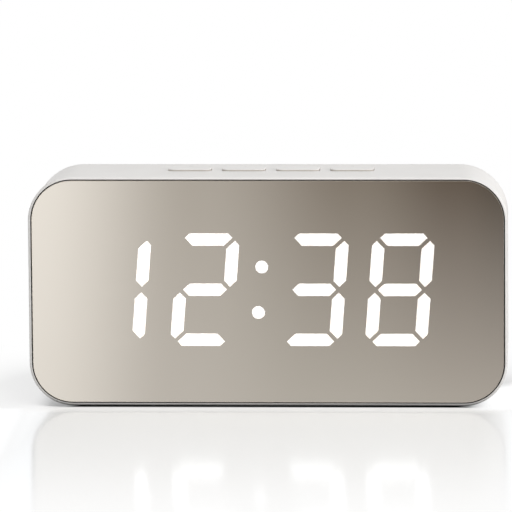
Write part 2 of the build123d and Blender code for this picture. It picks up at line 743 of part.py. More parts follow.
def key_switches():
    _, _, _, _, switch_top, board_top = key_heights()
    bodies = []
    for x in key_centres():
        body = level(Pos(x, KEY_Y) * Rectangle(SWITCH_SIZE, SWITCH_SIZE), board_top, switch_top)
        body = chamfer(body.faces().sort_by(Axis.Z)[-1].edges(), SWITCH_BEVEL)
        well = Pos(x, KEY_Y) * Circle(PLUNGER_RADIUS + PLUNGER_GAP)
        bodies.append(body - level(well, switch_top - PLUNGER_WELL, switch_top + OVERRUN))
    return Compound(bodies)


def key_board():
    board_top = key_heights()[-1]
    left, right = key_post_spots()
    length = right - left + 2 * KEY_POST_RADIUS
    plan = Pos((left + right) / 2, KEY_Y) * RectangleRounded(length, KEY_BOARD_DEPTH, KEY_BOARD_CORNER)
    board = level(plan, board_top - KEY_BOARD_THICKNESS, board_top)
    for x in (left, right):
        hole = Pos(x, KEY_Y) * Circle(SMALL_SHANK + SHANK_ROOM)
        board -= level(hole, board_top - KEY_BOARD_THICKNESS - OVERRUN, board_top + OVERRUN)
    return board


def key_ribbon():
    # flat cable from the underside of the key board, down and forward to the display board
    start = key_heights()[-1] - KEY_BOARD_THICKNESS
    y = KEY_Y - RIBBON_SETBACK
    line = FilletPolyline((y, start), (y, start - RIBBON_DROP), (BOARD_BACK, start - RIBBON_DROP),
                          radius=RIBBON_BEND_SHARE * (y - BOARD_BACK))
    side = Plane(origin=(RIBBON_X - RIBBON_WIDTH / 2, 0, 0), x_dir=(0, 1, 0), z_dir=(1, 0, 0))
    return extrude(side * trace(line, RIBBON_THICKNESS), amount=RIBBON_WIDTH, dir=(1, 0, 0))


def door_recess(margin, front, back):
    # the door's outline let out by a margin: round at the top, square at the hinge
    height = DOOR_TOP - DOOR_BOTTOM + 2 * margin
    outline = panel(DOOR_WIDTH + 2 * margin, height, BAY_X, (DOOR_TOP + DOOR_BOTTOM) / 2)
    outline = fillet(outline.vertices().group_by(Axis.Y)[-1], DOOR_CORNER + margin)
    return slab(outline, front, back)


def hook_spots():
    return [BAY_X - HOOK_SPREAD / 2, BAY_X + HOOK_SPREAD / 2]


def hook_swing():
    # farthest point of a hook from the hinge axis
    reach = HINGE_Y - (HOOK_FRONT - HOOK_THICKNESS)
    return math.hypot(reach, HOOK_LEG - HOOK_LOW)


def rear_cover():
    cover = split(case_body(), bisect_by=facing(PARTING), keep=Keep.BOTTOM)
    lip_outer = WALL + LIP_GAP
    lip_inner = lip_outer + LIP_WALL
    cover -= case_block(PARTING - OVERRUN, COVER_INNER, lip_inner)
    lip = case_block(PARTING - LIP_LENGTH, PARTING + LIP_ROOT, lip_outer)
    cover += lip - case_block(PARTING - LIP_LENGTH - OVERRUN, PARTING + LIP_ROOT + OVERRUN, lip_inner)
    seam = case_block(PARTING - OVERRUN, PARTING + SEAM_WIDTH, -OVERRUN)
    cover -= seam - case_block(PARTING - 2 * OVERRUN, PARTING + SEAM_WIDTH + OVERRUN, SEAM_DEPTH)

    # pads under the corner screws, kept inside the lip
    inside = case_block(POST_END, REAR, lip_outer)
    for x, z in corner_spots(POST_INSET, POST_INSET):
        cover += slab(disc(PAD_RADIUS, x, z), POST_END + POST_GAP, COVER_INNER + COVER_FLOOR / 2) & inside
    for x, z in corner_spots(POST_INSET, POST_INSET):
        cover -= slab(disc(BIG_HEAD + HEAD_ROOM, x, z), REAR - HEAD_SINK, REAR + OVERRUN)
        cover -= slab(disc(BIG_SHANK + SHANK_ROOM, x, z), POST_END - OVERRUN, REAR)

    # battery bay: a tub behind a recess for the door
    cover += door_recess(SEAT_MARGIN, SEAT_BACK, COVER_INNER + COVER_FLOOR / 2)
    tub = panel(BAY_LENGTH + 2 * BAY_WALL, BAY_HEIGHT + 2 * BAY_WALL, BAY_X, MIDDLE)
    cover += slab(tub, BAY_BACK, COVER_INNER)
    cover -= slab(panel(BAY_LENGTH, BAY_HEIGHT, BAY_X, MIDDLE), BAY_END, REAR + OVERRUN)
    cover -= door_recess(DOOR_GAP, DOOR_SEAT, REAR + OVERRUN)
    for place in range(1, CELL_COUNT):
        rib = panel(BAY_RIB_LENGTH, BAY_RIB, BAY_X, BAY_BOTTOM + place * CELL_PITCH)
        cover += slab(rib, BAY_END - BAY_FLOOR / 2, BAY_END + BAY_RIB_HEIGHT)
    for x, z in tail_spots():
        slot = panel(CONTACT_THICKNESS + 2 * TAIL_GAP, TAIL_WIDTH + 2 * TAIL_GAP, x, z)
        cover -= slab(slot, BAY_BACK - OVERRUN, BAY_END + OVERRUN)

    # slots for the door's hooks, a pocket for its latch nib and a finger scoop above it
    slot_low = HINGE_Z - HOOK_LOW - HOOK_SLOT_ROOM
    slot_high = HINGE_Z + hook_swing() + HOOK_SLOT_ROOM
    for x in hook_spots():
        slot = panel(HOOK_WIDTH + 2 * HOOK_SIDE_GAP, slot_high - slot_low, x, (slot_low + slot_high) / 2)
        cover -= slab(slot, SEAT_BACK - OVERRUN, DOOR_SEAT + OVERRUN)
    pocket_low = DOOR_TOP - NIB_HEIGHT - NIB_ROOM
    pocket_high = DOOR_TOP + NIB_RISE + NIB_ROOM
    pocket = panel(NIB_WIDTH + 2 * NIB_ROOM, pocket_high - pocket_low, BAY_X, (pocket_low + pocket_high) / 2)
    cover -= slab(pocket, DOOR_BACK - NIB_DEPTH - NIB_ROOM, DOOR_SEAT)
    groove = Pos(BAY_X, REAR + SCOOP_RADIUS - SCOOP_DEPTH, DOOR_TOP + DOOR_GAP)
    cover -= groove * Rot(0, 90, 0) * Cylinder(SCOOP_RADIUS, SCOOP_LENGTH)

    # sound slots behind the buzzer
    for place in range(SOUND_SLOT_COUNT):
        z = MIDDLE + SLOT_PITCH * (place - (SOUND_SLOT_COUNT - 1) / 2)
        slot = Pos(BUZZER_X, z) * SlotOverall(SLOT_LENGTH, SLOT_WIDTH)
        cover -= slab(slot, COVER_INNER - OVERRUN, REAR + OVERRUN)

    # hole for the power socket and the two shelves that carry its board
    hole = SlotOverall(SOCKET_WIDTH + 2 * SOCKET_GAP, SOCKET_HEIGHT + 2 * SOCKET_GAP)
    cover -= slab(Pos(SOCKET_X, SOCKET_Z) * hole, COVER_INNER - OVERRUN, REAR + OVERRUN)
    back = POWER_BOARD_EDGE - POWER_BOARD_LENGTH
    bite = SMALL_LENGTH - POWER_BOARD_THICKNESS + PILOT_SPARE
    for x, y in power_screw_spots():
        shelf = panel(SHELF_WIDTH, SHELF_HEIGHT, x, POWER_BOARD_LOW - SHELF_HEIGHT / 2)
        cover += slab(shelf, back, COVER_INNER + COVER_FLOOR / 2)
        hole = Pos(x, y) * Circle(SMALL_SHANK + PILOT_GAP)
        cover -= level(hole, POWER_BOARD_LOW - bite, POWER_BOARD_LOW + OVERRUN)
    return cover


def battery_door():
    door = slab(panel(DOOR_WIDTH, DOOR_TOP - HINGE_Z, BAY_X, (DOOR_TOP + HINGE_Z) / 2), DOOR_BACK, REAR)
    top_edges = door.edges().filter_by(Axis.Y).group_by(Axis.Z)[-1]
    door = fillet(top_edges, DOOR_CORNER)
    knuckle = Cylinder(DOOR_THICKNESS / 2, DOOR_WIDTH)
    door += Pos(BAY_X, HINGE_Y, HINGE_Z) * Rot(0, 90, 0) * knuckle

    # hooks reach in through the seat and turn down behind it
    inner = HOOK_FRONT - HOOK_THICKNESS
    low = HINGE_Z - HOOK_LOW
    for x in hook_spots():
        leg = panel(HOOK_WIDTH, HOOK_LEG, x, low + HOOK_LEG / 2)
        toe = panel(HOOK_WIDTH, HOOK_LEG + HOOK_TOE, x, low + (HOOK_LEG - HOOK_TOE) / 2)
        door += slab(leg, inner, DOOR_BACK)
        door += slab(toe, inner, HOOK_FRONT)

    # springy tongue between two slits, with its nib behind and grip grooves on its face
    slit_z = DOOR_TOP - LATCH_LENGTH / 2
    for side in (-1, 1):
        slit = panel(LATCH_SLIT, LATCH_LENGTH, BAY_X + side * (LATCH_WIDTH + LATCH_SLIT) / 2, slit_z)
        door -= slab(slit, DOOR_BACK - OVERRUN, REAR + OVERRUN)
    nib_z = DOOR_TOP + NIB_RISE - (NIB_HEIGHT + NIB_RISE) / 2
    door += slab(panel(NIB_WIDTH, NIB_HEIGHT + NIB_RISE, BAY_X, nib_z), DOOR_BACK - NIB_DEPTH, DOOR_BACK)
    for place in range(GRIP_COUNT):
        z = DOOR_TOP - GRIP_PITCH * (place + 1)
        groove = panel(LATCH_WIDTH - 2 * GRIP_PITCH, GRIP_WIDTH, BAY_X, z)
        door -= slab(groove, REAR - GRIP_DEPTH, REAR + OVERRUN)
    return door


def cell_rows():
    # height of each cell and the side that its positive end points to
    rows = []
    for place in range(CELL_COUNT):
        rows.append((BAY_TOP - CELL_PITCH * (place + 0.5), 1 if place % 2 == 0 else -1))
    return rows


def battery_cells():
    cells = []
    for z, way in cell_rows():
        tip = BAY_X + way * (BAY_LENGTH / 2 - CONTACT_THICKNESS - DIMPLE_HEIGHT)
        body_length = CELL_LENGTH - NUB_LENGTH
        middle = tip - way * (NUB_LENGTH + body_length / 2)
        can = Rot(0, 90, 0) * Cylinder(CELL_RADIUS, body_length)
        can = chamfer(can.edges().filter_by(GeomType.CIRCLE), CELL_BEVEL)
        nub = Pos(tip - way * NUB_LENGTH, CELL_Y, z) * Rot(0, 90, 0) * Cylinder(NUB_RADIUS, 2 * NUB_LENGTH)
        cells.append(Pos(middle, CELL_Y, z) * can + nub)
    return Compound(cells)


def end_wall(way):
    return BAY_X + way * BAY_LENGTH / 2


def sheet_at(way, low, high, front, back):
    # thin contact sheet standing against one end wall of the bay
    x = end_wall(way) - way * CONTACT_THICKNESS / 2
    return slab(panel(CONTACT_THICKNESS, high - low, x, (low + high) / 2), front, back)


def tail_spots():
    # the first cell's negative end and the last cell's positive end leave the bay
    rows = cell_rows()
    spots = [(-rows[0][1], rows[0][0]), (rows[-1][1], rows[-1][0])]
    return [(end_wall(way) - way * CONTACT_THICKNESS / 2, z) for way, z in spots]


def contact_plates():
    # one sheet for each end of the chain and one across each pair of neighbouring cells
    rows = cell_rows()
    half = CONTACT_WIDTH / 2
    spans = [(-rows[0][1], rows[0][0] - half, rows[0][0] + half)]
    spans.append((rows[-1][1], rows[-1][0] - half, rows[-1][0] + half))
    for upper, lower in zip(rows, rows[1:]):
        spans.append((upper[1], lower[0] - half, upper[0] + half))
    plates = [sheet_at(way, low, high, BAY_END, BAY_END + CONTACT_HEIGHT) for way, low, high in spans]
    for place, (x, z) in enumerate(tail_spots()):
        tail = panel(CONTACT_THICKNESS, TAIL_WIDTH, x, z)
        plates[place] += slab(tail, BAY_BACK - TAIL_LENGTH, BAY_END)
    for z, way in rows:
        x = end_wall(way) - way * (CONTACT_THICKNESS + DIMPLE_HEIGHT / 2)
        dimple = Pos(x, CELL_Y, z) * Rot(0, 90 * -way, 0) * Cone(DIMPLE_RADIUS, NUB_RADIUS / 2, DIMPLE_HEIGHT)
        for place, (side, low, high) in enumerate(spans):
            if side == way and low < z < high:
                plates[place] += dimple
    return Compound(plates)


def contact_springs():
    # bowed leaves that press on the negative ends
    bows = []
    for z, way in cell_rows():
        foot = end_wall(-way) + way * (CONTACT_THICKNESS + BOW_THICKNESS / 2)
        crown = foot + way * (BOW_RISE - BOW_THICKNESS)
        arc = ThreePointArc((foot, CELL_Y - BOW_SPAN / 2), (crown, CELL_Y), (foot, CELL_Y + BOW_SPAN / 2))
        strip = trace(arc, BOW_THICKNESS)
        bows.append(level(strip, z - BOW_WIDTH / 2, z + BOW_WIDTH / 2))
    return Compound(bows)


def wire(points, bend):
    path = FilletPolyline(*points, radius=bend)
    start = Plane(origin=path @ 0, z_dir=path % 0)
    return sweep(start * Circle(LEAD_RADIUS), path=path)


def battery_lead(place):
    # from a contact's tail forward, sideways and forward again to the display board
    x, z = tail_spots()[place]
    way = math.copysign(1, x - BAY_X)
    start = BAY_BACK - TAIL_LENGTH
    turn = (start + BOARD_BACK) / 2
    side = x + way * LEAD_STEP
    bend = LEAD_BEND_SHARE * (start - BOARD_BACK)
    return wire([(x, start, z), (x, turn, z), (side, turn, z), (side, BOARD_BACK, z)], bend)


def power_screw_spots():
    across = POWER_BOARD_WIDTH / 2 - SHELF_WIDTH / 2
    y = POWER_BOARD_EDGE - POWER_BOARD_LENGTH / 2
    return [(SOCKET_X - across, y), (SOCKET_X + across, y)]


def power_board():
    y = POWER_BOARD_EDGE - POWER_BOARD_LENGTH / 2
    plan = Pos(SOCKET_X, y) * Rectangle(POWER_BOARD_WIDTH, POWER_BOARD_LENGTH)
    board = level(plan, POWER_BOARD_LOW, POWER_BOARD_TOP)
    for x, y in power_screw_spots():
        hole = Pos(x, y) * Circle(SMALL_SHANK + SHANK_ROOM)
        board -= level(hole, POWER_BOARD_LOW - OVERRUN, POWER_BOARD_TOP + OVERRUN)
    return board


def power_socket_shell():
    back = SOCKET_MOUTH - SOCKET_LENGTH
    place = Pos(SOCKET_X, SOCKET_Z)
    outer = place * SlotOverall(SOCKET_WIDTH, SOCKET_HEIGHT)
    inner = place * SlotOverall(SOCKET_WIDTH - 2 * SOCKET_WALL, SOCKET_HEIGHT - 2 * SOCKET_WALL)
    return slab(outer, back, SOCKET_MOUTH) - slab(inner, back - OVERRUN, SOCKET_MOUTH + OVERRUN)


def power_socket_tongue():
    back = SOCKET_MOUTH - SOCKET_LENGTH
    room = 2 * (SOCKET_WALL + TONGUE_GAP)
    plug = Pos(SOCKET_X, SOCKET_Z) * SlotOverall(SOCKET_WIDTH - room, SOCKET_HEIGHT - room)
    tongue = panel(TONGUE_WIDTH, TONGUE_THICKNESS, SOCKET_X, SOCKET_Z)
    return slab(plug, back, back + SOCKET_BACK) + slab(tongue, back, SOCKET_MOUTH - TONGUE_SINK)


def power_leads():
    # two wires from the top of the power board, up and forward to the display board
    y = POWER_BOARD_EDGE - POWER_BOARD_LENGTH + POWER_LEAD_SETBACK
    wires = []
    for side in (-0.5, 0.5):
        x = SOCKET_X + side * POWER_LEAD_PITCH
        high = POWER_BOARD_TOP + POWER_LEAD_RISE
        points = [(x, y, POWER_BOARD_TOP), (x, y, high), (x, BOARD_BACK, high)]
        wires.append(wire(points, POWER_LEAD_BEND))
    return Compound(wires)


def screw(shank, length, head, head_height):
    # pan head with a cross, seat at the origin, shank along -Z
    top = fillet(level(Circle(head), 0, head_height).faces().sort_by(Axis.Z)[-1].edges(), HEAD_ROUND)
    for turn in (0, 90):
        arm = Rot(0, 0, turn) * Rectangle(2 * head * CROSS_SPAN, CROSS_WIDTH)
        top -= level(arm, head_height - CROSS_DEPTH, head_height + OVERRUN)
    return top + level(Circle(shank), -length, 0)


def screws_at(spots, towards, pattern):
    return Compound([Plane(origin=spot, z_dir=towards) * pattern for spot in spots])


def cover_screws():
    spots = [(x, REAR - HEAD_SINK, z) for x, z in corner_spots(POST_INSET, POST_INSET)]
    return screws_at(spots, (0, 1, 0), screw(BIG_SHANK, BIG_LENGTH, BIG_HEAD, BIG_HEAD_HEIGHT))


def small_screw():
    return screw(SMALL_SHANK, SMALL_LENGTH, SMALL_HEAD, SMALL_HEAD_HEIGHT)


def board_screws():
    return screws_at([(x, BOARD_BACK, z) for x, z in board_holes()], (0, 1, 0), small_screw())


def key_board_screws():
    low = key_heights()[-1] - KEY_BOARD_THICKNESS
    return screws_at([(x, KEY_Y, low) for x in key_post_spots()], (0, 0, -1), small_screw())


def power_board_screws():
    return screws_at([(x, y, POWER_BOARD_TOP) for x, y in power_screw_spots()], (0, 0, 1), small_screw())


def rubber_feet():
    feet = []
    for x, y in foot_spots():
        pad = level(Pos(x, y) * Circle(FOOT_RADIUS), 0, FOOT_STAND + FOOT_SINK)
        feet.append(fillet(pad.faces().sort_by(Axis.Z)[0].edges(), FOOT_ROUND))
    return Compound(feet)


key_names = ["set", "up", "down", "snooze"]
pieces = {
    "front_housing": front_housing(),
    "rear_cover": rear_cover(),
    "battery_door": battery_door(),
    "mirror_panel": mirror_panel(),
    "mirror_tape": mirror_tape(),
    "mask_film": mask_film(),
    "segment_reflector": segment_reflector(),
    "lit_segments": diffusers(True),
    "dark_segments": diffusers(False),
    "display_board": display_board(),
    "segment_leds": segment_leds(),
    "controller_chip": controller_chip(),
    "driver_chips": driver_chips(),
    "clock_crystal": clock_crystal(),
    "filter_capacitors": filter_capacitors(),
    "chip_resistors": chip_resistors(),
    "buzzer": buzzer(),
    "key_board": key_board(),
    "key_switches": key_switches(),
    "key_ribbon": key_ribbon(),
    "battery_cells": battery_cells(),
    "contact_plates": contact_plates(),
    "contact_springs": contact_springs(),
    "battery_lead_black": battery_lead(0),
    "battery_lead_red": battery_lead(1),
    "power_board": power_board(),
    "power_socket_shell": power_socket_shell(),
    "power_socket_tongue": power_socket_tongue(),
    "power_leads": power_leads(),
    "cover_screws": cover_screws(),
    "board_screws": board_screws(),
    "key_board_screws": key_board_screws(),
    "power_board_screws": power_board_screws(),
    "rubber_feet": rubber_feet(),
}
for key_name, key_x in zip(key_names, key_centres()):
    pieces[key_name + "_key"] = key_cap(key_x)
    pieces[key_name + "_plunger"] = switch_plunger(key_x)

os.makedirs("parts", exist_ok=True)
for piece_name, piece in pieces.items():
    export_step(piece, "parts/" + piece_name + ".step")
print(len(pieces), "nodes written")
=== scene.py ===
import json
import math
import bpy
from mathutils import Matrix, Vector


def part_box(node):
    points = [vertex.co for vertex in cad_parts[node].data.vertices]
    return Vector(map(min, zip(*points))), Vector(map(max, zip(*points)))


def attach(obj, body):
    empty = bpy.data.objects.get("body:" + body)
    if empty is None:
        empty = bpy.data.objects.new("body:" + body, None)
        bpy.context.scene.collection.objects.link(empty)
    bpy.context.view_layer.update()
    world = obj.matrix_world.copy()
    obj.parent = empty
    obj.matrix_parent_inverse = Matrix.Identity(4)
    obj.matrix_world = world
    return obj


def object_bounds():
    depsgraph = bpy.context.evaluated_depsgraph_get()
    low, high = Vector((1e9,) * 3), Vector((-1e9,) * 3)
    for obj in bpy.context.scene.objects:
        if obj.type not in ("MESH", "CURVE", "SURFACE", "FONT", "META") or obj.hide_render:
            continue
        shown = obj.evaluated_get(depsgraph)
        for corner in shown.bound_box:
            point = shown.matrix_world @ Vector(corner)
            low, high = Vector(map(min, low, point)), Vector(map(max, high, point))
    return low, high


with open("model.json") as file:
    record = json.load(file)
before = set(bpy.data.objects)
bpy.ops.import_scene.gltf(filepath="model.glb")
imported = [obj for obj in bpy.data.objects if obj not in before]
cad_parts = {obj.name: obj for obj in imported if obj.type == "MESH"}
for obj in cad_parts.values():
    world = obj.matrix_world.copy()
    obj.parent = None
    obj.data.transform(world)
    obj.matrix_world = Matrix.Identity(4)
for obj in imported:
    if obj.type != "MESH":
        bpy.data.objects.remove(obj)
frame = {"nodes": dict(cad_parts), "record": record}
nodes = frame["nodes"]
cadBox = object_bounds()
scene = bpy.context.scene
scene.view_settings.view_transform = "Standard"
print("frame loaded:", len(nodes), "nodes")


# node helpers

def addNode(tree, kind, **settings):
    node = tree.nodes.new(kind)
    for name, value in settings.items():
        setattr(node, name, value)
    return node


def wire(tree, start, end):
    tree.links.new(start, end)


def feed(tree, socket, value):
    # the value is a number, a colour or another node's socket
    if isinstance(value, (int, float)):
        socket.default_value = value
    elif isinstance(value, tuple):
        socket.default_value = (*value, 1)
    else:
        wire(tree, value, socket)


def calc(tree, operation, first, second=None, clamp=False):
    node = addNode(tree, "ShaderNodeMath", operation=operation, use_clamp=clamp)
    feed(tree, node.inputs[0], first)
    if second is not None:
        feed(tree, node.inputs[1], second)
    return node.outputs[0]


def largest(tree, first, *others):
    for other in others:
        first = calc(tree, "MAXIMUM", first, other)
    return first


def spread(tree, value, low, high, newLow, newHigh, smooth=False):
    node = addNode(tree, "ShaderNodeMapRange", interpolation_type="SMOOTHSTEP" if smooth else "LINEAR")
    wire(tree, value, node.inputs["Value"])
    for name, end in (("From Min", low), ("From Max", high), ("To Min", newLow), ("To Max", newHigh)):
        feed(tree, node.inputs[name], end)
    return node.outputs["Result"]


def mixColour(tree, share, first, second):
    node = addNode(tree, "ShaderNodeMix", data_type="RGBA")
    colourSockets = (node.inputs[0], node.inputs[6], node.inputs[7])  # the node has others for numbers
    for socket, value in zip(colourSockets, (share, first, second)):
        feed(tree, socket, value)
    return node.outputs[2]


def noise(tree, place, scale, detail=3):
    node = addNode(tree, "ShaderNodeTexNoise")
    node.inputs["Detail"].default_value = detail
    wire(tree, place, node.inputs["Vector"])
    wire(tree, scale, node.inputs["Scale"])
    return node.outputs["Fac"]


def objectPlace(tree):
    return addNode(tree, "ShaderNodeTexCoord").outputs["Object"]


def axes(tree):
    # X, Y and Z of a point on the piece
    split = addNode(tree, "ShaderNodeSeparateXYZ")
    wire(tree, objectPlace(tree), split.inputs[0])
    return split.outputs


def blendShaders(tree, share, first, second):
    node = addNode(tree, "ShaderNodeMixShader")
    for socket, value in zip(node.inputs, (share, first, second)):
        wire(tree, value, socket)
    return node.outputs[0]


def newGroup(name, numbers):
    # two colours and some numbers go in, a colour, a roughness and a height come out
    tree = bpy.data.node_groups.new(name, "ShaderNodeTree")
    for label in ("Colour", "Shade"):
        tree.interface.new_socket(label, in_out="INPUT", socket_type="NodeSocketColor")
    for label in numbers:
        tree.interface.new_socket(label, in_out="INPUT", socket_type="NodeSocketFloat")
    tree.interface.new_socket("Colour", in_out="OUTPUT", socket_type="NodeSocketColor")
    for label in ("Roughness", "Height"):
        tree.interface.new_socket(label, in_out="OUTPUT", socket_type="NodeSocketFloat")
    given = addNode(tree, "NodeGroupInput")
    made = addNode(tree, "NodeGroupOutput")
    return tree, given.outputs, made.inputs


# shared effects

def vary(tree, given, made, value, look):
    # colour and roughness go from one end to the other as the value goes from low to high
    share = spread(tree, value, look["low"], look["high"], 0, 1)
    wire(tree, mixColour(tree, share, given["Colour"], given["Shade"]), made["Colour"])
    least = calc(tree, "SUBTRACT", given["Roughness"], given["Swing"])
    most = calc(tree, "ADD", given["Roughness"], given["Swing"])
    wire(tree, spread(tree, value, look["low"], look["high"], least, most), made["Roughness"])


mouldedLook = {"low": 0.3, "high": 0.7, "grainDetail": 2}


def mouldedGroup():
    # moulded plastic and rubber: slow drift of colour and gloss, with a fine grain
    tree, given, made = newGroup("moulded", ["Drift", "Grain", "Roughness", "Swing"])
    place = objectPlace(tree)
    vary(tree, given, made, noise(tree, place, given["Drift"]), mouldedLook)
    wire(tree, noise(tree, place, given["Grain"], mouldedLook["grainDetail"]), made["Height"])
    return tree


platedLook = {"low": 0.35, "high": 0.65, "stretch": (0.06, 1, 1)}


def platedGroup():
    # plated and drawn metal: streaks that run one way, and cloudy dull patches
    tree, given, made = newGroup("plated", ["Streak", "Cloud", "Roughness", "Swing"])
    place = objectPlace(tree)
    stretch = addNode(tree, "ShaderNodeMapping")
    stretch.inputs["Scale"].default_value = platedLook["stretch"]
    wire(tree, place, stretch.inputs["Vector"])
    streak = noise(tree, stretch.outputs[0], given["Streak"])
    cloud = noise(tree, place, given["Cloud"])
    average = calc(tree, "MULTIPLY", calc(tree, "ADD", streak, cloud), 0.5)
    vary(tree, given, made, average, platedLook)
    wire(tree, streak, made["Height"])
    return tree


tracksLook = {"rings": 26, "low": 0.1, "high": 0.4, "dull": 0.12}


def tracksGroup():
    # copper tracks under the green of a circuit board
    tree, given, made = newGroup("tracks", ["Size", "Roughness"])
    cells = addNode(tree, "ShaderNodeTexVoronoi", distance="CHEBYCHEV", feature="F1")
    wire(tree, objectPlace(tree), cells.inputs["Vector"])
    wire(tree, given["Size"], cells.inputs["Scale"])
    rings = calc(tree, "SINE", calc(tree, "MULTIPLY", cells.outputs["Distance"], tracksLook["rings"]))
    track = spread(tree, rings, tracksLook["low"], tracksLook["high"], 0, 1, smooth=True)
    wire(tree, mixColour(tree, track, given["Colour"], given["Shade"]), made["Colour"])
    dull = calc(tree, "ADD", given["Roughness"], tracksLook["dull"])
    wire(tree, spread(tree, track, 0, 1, given["Roughness"], dull), made["Roughness"])
    wire(tree, track, made["Height"])
    return tree


moulded = mouldedGroup()
plated = platedGroup()
tracks = tracksGroup()
print("shared effects ready")


# finishes

def insides(finish):
    tree = finish.node_tree
    return tree, tree.nodes["Principled BSDF"]


def newFinish(name):
    finish = bpy.data.materials.new(name)
    finish.use_nodes = True
    return finish, *insides(finish)


def placeGroup(tree, group, colour, shade, **numbers):
    node = addNode(tree, "ShaderNodeGroup", node_tree=group)
    node.inputs["Colour"].default_value = (*colour, 1)
    node.inputs["Shade"].default_value = (*shade, 1)
    for name, value in numbers.items():
        node.inputs[name.capitalize()].default_value = value
    return node.outputs


def bump(tree, height, shader, depth):
    node = addNode(tree, "ShaderNodeBump")
    node.inputs["Strength"].default_value = 1
    node.inputs["Distance"].default_value = depth
    wire(tree, height, node.inputs["Height"])
    wire(tree, node.outputs["Normal"], shader.inputs["Normal"])


def dress(name, group, colour, shade, relief, metallic=0, shine=0.5, **numbers):
    finish, tree, shader = newFinish(name)
    result = placeGroup(tree, group, colour, shade, **numbers)
    wire(tree, result["Colour"], shader.inputs["Base Color"])
    wire(tree, result["Roughness"], shader.inputs["Roughness"])
    shader.inputs["Metallic"].default_value = metallic
    shader.inputs["Specular IOR Level"].default_value = shine
    if relief:
        bump(tree, result["Height"], shader, relief)
    return finish


def plastic(name, colour, shade, rough, drift=60, grain=4000, relief=0.000006, swing=0.04, shine=0.5):
    return dress(name, moulded, colour, shade, relief, shine=shine, drift=drift, grain=grain,
                 roughness=rough, swing=swing)


def metal(name, colour, shade, rough, streak=1500, cloud=300, relief=0.000002, swing=0.06):
    return dress(name, plated, colour, shade, relief, metallic=1, streak=streak, cloud=cloud,
                 roughness=rough, swing=swing)


mirrorLook = {"tint": (0.95, 0.89, 0.81), "shade": (0.945, 0.884, 0.803), "rough": 0.035, "drift": 25,
              "swing": 0.01, "faceCover": 0.72, "edgeCover": 0.95, "backCover": 0.04,
              "faceDepth": 0.00003, "edgeDepth": 0.0006}


def mirrorFinish():
    # half mirror: the film on the face lets light from behind through, the polished edge is denser
    finish = plastic("mirrorFace", mirrorLook["tint"], mirrorLook["shade"], mirrorLook["rough"],
                     drift=mirrorLook["drift"], relief=0, swing=mirrorLook["swing"])
    tree, shader = insides(finish)
    shader.inputs["Metallic"].default_value = 1
    depth = calc(tree, "SUBTRACT", axes(tree)["Y"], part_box("mirror_panel")[0].y)
    onFace = calc(tree, "LESS_THAN", depth, mirrorLook["faceDepth"])
    onEdge = calc(tree, "LESS_THAN", depth, mirrorLook["edgeDepth"])
    cover = spread(tree, onEdge, 0, 1, mirrorLook["backCover"], mirrorLook["edgeCover"])
    cover = spread(tree, onFace, 0, 1, cover, mirrorLook["faceCover"])
    wire(tree, cover, shader.inputs["Alpha"])
    return finish


# the gap colour is painted shade on the key walls, from the start depth to the end depth below the key top
keyLook = {"colour": (0.80, 0.788, 0.776), "shade": (0.785, 0.772, 0.76), "rough": 0.38, "drift": 110,
           "gap": (0.56, 0.51, 0.46), "gapStart": 0.0002, "gapEnd": 0.00045}


def keyFinish():
    # painted shade: the key walls are painted darker towards the gap round them, where the shade falls
    finish = plastic("keyWhite", keyLook["colour"], keyLook["shade"], keyLook["rough"],
                     drift=keyLook["drift"])
    tree, shader = insides(finish)
    cap = shader.inputs["Base Color"].links[0].from_socket
    depth = calc(tree, "SUBTRACT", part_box("set_key")[1].z, axes(tree)["Z"])
    # painted shade, fuller on the wall the further it is below the key top
    paintedGapShade = spread(tree, depth, keyLook["gapStart"], keyLook["gapEnd"], 0, 1)
    wire(tree, mixColour(tree, paintedGapShade, cap, keyLook["gap"]), shader.inputs["Base Color"])
    return finish


segmentLook = {"body": (0.9, 0.9, 0.88), "bodyShade": (0.86, 0.87, 0.88), "rough": 0.4, "drift": 150,
               "glow": (1, 0.99, 0.97), "glowShade": (0.93, 0.95, 1), "glowDrift": 120, "strength": 2.8}


def segmentFinish():
    # lit diffuser: a little uneven over each bar, as the lamp behind it is small
    finish = plastic("segmentLit", segmentLook["body"], segmentLook["bodyShade"], segmentLook["rough"],
                     drift=segmentLook["drift"])
    tree, shader = insides(finish)
    glow = placeGroup(tree, moulded, segmentLook["glow"], segmentLook["glowShade"],
                      drift=segmentLook["glowDrift"])
    wire(tree, glow["Colour"], shader.inputs["Emission Color"])
    shader.inputs["Emission Strength"].default_value = segmentLook["strength"]
    return finish


cellLook = {"seam": 0.0105, "blur": 0.0002, "rough": 0.3, "swing": 0.05, "drift": 90,
            "film": (0.03, 0.032, 0.036), "filmShade": (0.022, 0.024, 0.028),
            "foil": (0.42, 0.2, 0.07), "foilShade": (0.36, 0.16, 0.05),
            "streak": 900, "cloud": 200, "foilMetal": 0.85}


def cellRows():
    # height of the middle row, and from one row to the next
    low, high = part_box("battery_cells")
    return (low.z + high.z) / 2, (high.z - low.z - (high.y - low.y)) / 2


